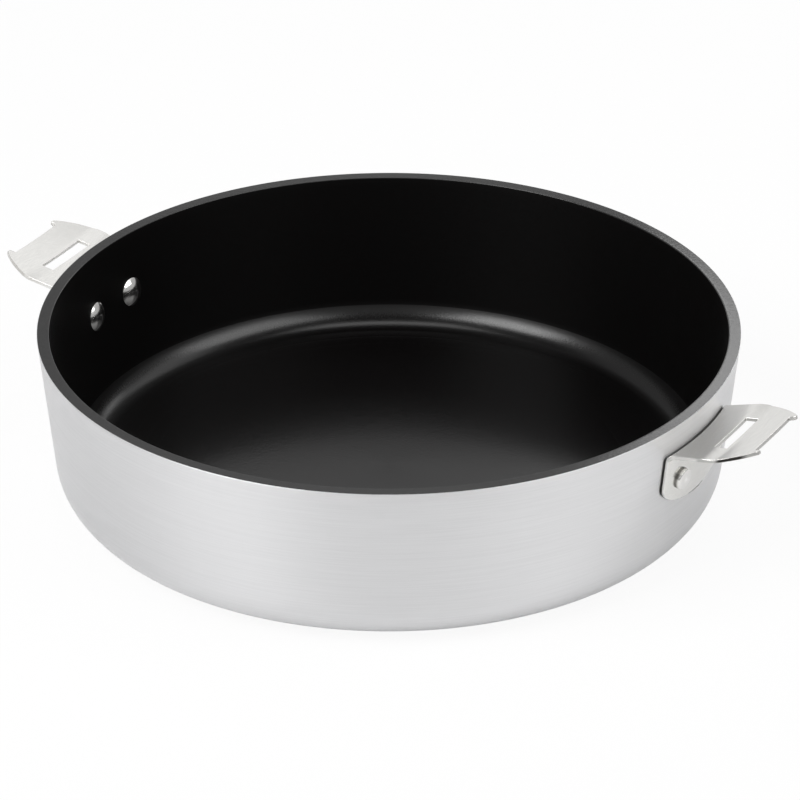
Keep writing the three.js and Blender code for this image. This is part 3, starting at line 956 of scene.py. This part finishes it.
def ray_share(tree, seen, mirrored):
    """One share for camera rays, another for mirror and glass rays, and 0 for rays that carry light."""
    path = node(tree, "ShaderNodeLightPath")
    through = node(
        tree, "ShaderNodeMath",
        [(0, path.outputs["Is Glossy Ray"]), (1, path.outputs["Is Transmission Ray"])],
        operation="MAXIMUM",
    )
    mirror = node(
        tree, "ShaderNodeMath",
        [(0, through.outputs[0]), (1, mirrored)],
        operation="MULTIPLY",
    )
    direct = node(
        tree, "ShaderNodeMath",
        [(0, path.outputs["Is Camera Ray"]), (1, seen)],
        operation="MULTIPLY",
    )
    share = node(
        tree, "ShaderNodeMath",
        [(0, mirror.outputs[0]), (1, direct.outputs[0])],
        operation="MAXIMUM",
    )
    return share.outputs[0]


def white_table():
    """Matt white table: it takes the pan's soft shadow, and is lifted towards white where it is seen."""
    material, tree = new_material("matt white table")
    matt = node(
        tree, "ShaderNodeBsdfDiffuse", [("Color", linear(TABLE_WHITE)), ("Roughness", TABLE_MATT)]
    )
    glow = node(tree, "ShaderNodeEmission", [("Color", linear(PURE_WHITE)), ("Strength", 1.0)])
    mixed = node(
        tree, "ShaderNodeMixShader",
        [(0, ray_share(tree, TABLE_SEEN, TABLE_MIRRORED)), (1, matt.outputs["BSDF"]),
         (2, glow.outputs["Emission"])],
    )
    node(tree, "ShaderNodeOutputMaterial", [("Surface", mixed.outputs["Shader"])])
    return material


def pale_room():
    """The world: white to the camera, and in mirrors a backdrop with a darker gap, sides and a ceiling.

    Rays that only carry light get an even, weak fill.
    """
    world = bpy.data.worlds.new("pale room")
    world.use_nodes = True
    room = world.node_tree
    room.nodes.clear()
    heading = node(room, "ShaderNodeTexCoord").outputs["Generated"]
    upward = node(room, "ShaderNodeSeparateXYZ", [(0, heading)]).outputs[2]
    away = (-np.sin(VIEW_AZIMUTH), np.cos(VIEW_AZIMUTH), 0.0)
    behind = node(room, "ShaderNodeVectorMath", [(0, heading), (1, away)], operation="DOT_PRODUCT")
    lower = node(
        room, "ShaderNodeMapRange",
        [("Value", upward), *GAP_BEGINS, ("To Min", BACKDROP_LOW), ("To Max", BACKDROP_GAP)],
        interpolation_type="SMOOTHSTEP",
    )
    raised = node(
        room, "ShaderNodeMapRange",
        [("Value", upward), *GAP_ENDS, ("To Max", BACKDROP_HIGH - BACKDROP_GAP)],
        interpolation_type="SMOOTHSTEP",
    )
    backdrop = node(
        room, "ShaderNodeMath",
        [(0, lower.outputs[0]), (1, raised.outputs[0])],
        operation="ADD",
    )
    walls = node(
        room, "ShaderNodeMapRange",
        [("Value", behind.outputs["Value"]), *SIDES_END,
         ("To Min", ROOM_SIDES), ("To Max", backdrop.outputs[0])],
        interpolation_type="SMOOTHSTEP",
    )
    overhead = node(
        room, "ShaderNodeMapRange",
        [("Value", upward), *CEILING_BEGINS],
        interpolation_type="SMOOTHSTEP",
    )
    mirrored = node(
        room, "ShaderNodeMix",
        [("Factor", overhead.outputs[0]), ("A", walls.outputs[0]), ("B", CEILING)],
        data_type="FLOAT",
    )
    filled = node(
        room, "ShaderNodeMix",
        [("Factor", ray_share(room, 1.0, 1.0)), ("A", ROOM_FILL), ("B", mirrored.outputs[0])],
        data_type="FLOAT",
    )
    seen = node(room, "ShaderNodeLightPath").outputs["Is Camera Ray"]
    strength = node(room, "ShaderNodeMath", [(0, filled.outputs[0]), (1, seen)], operation="MAXIMUM")
    sky = node(
        room, "ShaderNodeBackground",
        [("Color", linear(PURE_WHITE)), ("Strength", strength.outputs[0])],
    )
    node(room, "ShaderNodeOutputWorld", [("Surface", sky.outputs["Background"])])
    return world


def look_rotation(back):
    """The turn that points an object's -Z away from back, with its X level."""
    right = np.cross((0.0, 0.0, 1.0), back)
    right /= np.linalg.norm(right)
    up = np.cross(back, right)
    return Matrix(np.column_stack([right, up, back]).tolist()).to_euler()


def soft_box(name, bearing, elevation, distance, width, height, radiance):
    """A rectangular lamp, at a bearing to the right of the camera and aimed at the middle of the rim."""
    turn = VIEW_AZIMUTH + np.radians(bearing)
    lift = np.radians(elevation)
    back = np.array([np.sin(turn) * np.cos(lift), -np.cos(turn) * np.cos(lift), np.sin(lift)])
    lamp = bpy.data.lights.new(name, "AREA")
    lamp.shape = "RECTANGLE"
    lamp.size = width
    lamp.size_y = height
    lamp.energy = radiance * np.pi * width * height
    box = bpy.data.objects.new(name, lamp)
    box.location = rim_middle + distance * back
    box.rotation_euler = look_rotation(back)
    box.visible_camera = False
    bpy.context.collection.objects.link(box)


steps = np.linspace(-0.5, 0.5, 9) * TABLE_SIZE
table_x, table_y = np.meshgrid(steps, steps, indexing="ij")
index = np.arange(table_x.size).reshape(table_x.shape)
table_faces = np.stack([index[:-1, :-1], index[1:, :-1], index[1:, 1:], index[:-1, 1:]], axis=-1)
table_points = np.stack([table_x, table_y, TABLE_Z + 0.0 * table_x], axis=-1)
table = solid("table", table_points.reshape(-1, 3), table_faces.reshape(-1, 4), [white_table()])

bpy.context.scene.world = pale_room()

rim_middle = np.array([0.0, 0.0, RIM_Z * MM])
for name, settings in SOFT_BOXES.items():
    soft_box(name, *settings)

toward_camera = np.array([
    np.sin(VIEW_AZIMUTH) * np.cos(VIEW_ELEVATION),
    -np.cos(VIEW_AZIMUTH) * np.cos(VIEW_ELEVATION),
    np.sin(VIEW_ELEVATION),
])
view_right = np.array([np.cos(VIEW_AZIMUTH), np.sin(VIEW_AZIMUTH), 0.0])
view_up = np.cross(toward_camera, view_right)
per_pixel = VIEW_DISTANCE / FOCAL_PIXELS
aim = rim_middle + (AIM_RIGHT * view_right - AIM_DOWN * view_up) * per_pixel
place = rim_middle + VIEW_DISTANCE * toward_camera
back = (place - aim) / np.linalg.norm(place - aim)
camera = bpy.data.cameras.new("camera")
camera.sensor_fit = "HORIZONTAL"
camera.sensor_width = SENSOR_WIDTH
camera.lens = FOCAL_PIXELS / IMAGE_PIXELS * SENSOR_WIDTH
camera.clip_end = VIEW_END
camera_object = bpy.data.objects.new("camera", camera)
camera_object.location = place
camera_object.rotation_euler = look_rotation(back)
bpy.context.collection.objects.link(camera_object)
bpy.context.scene.camera = camera_object
bpy.context.scene.view_settings.view_transform = "Standard"
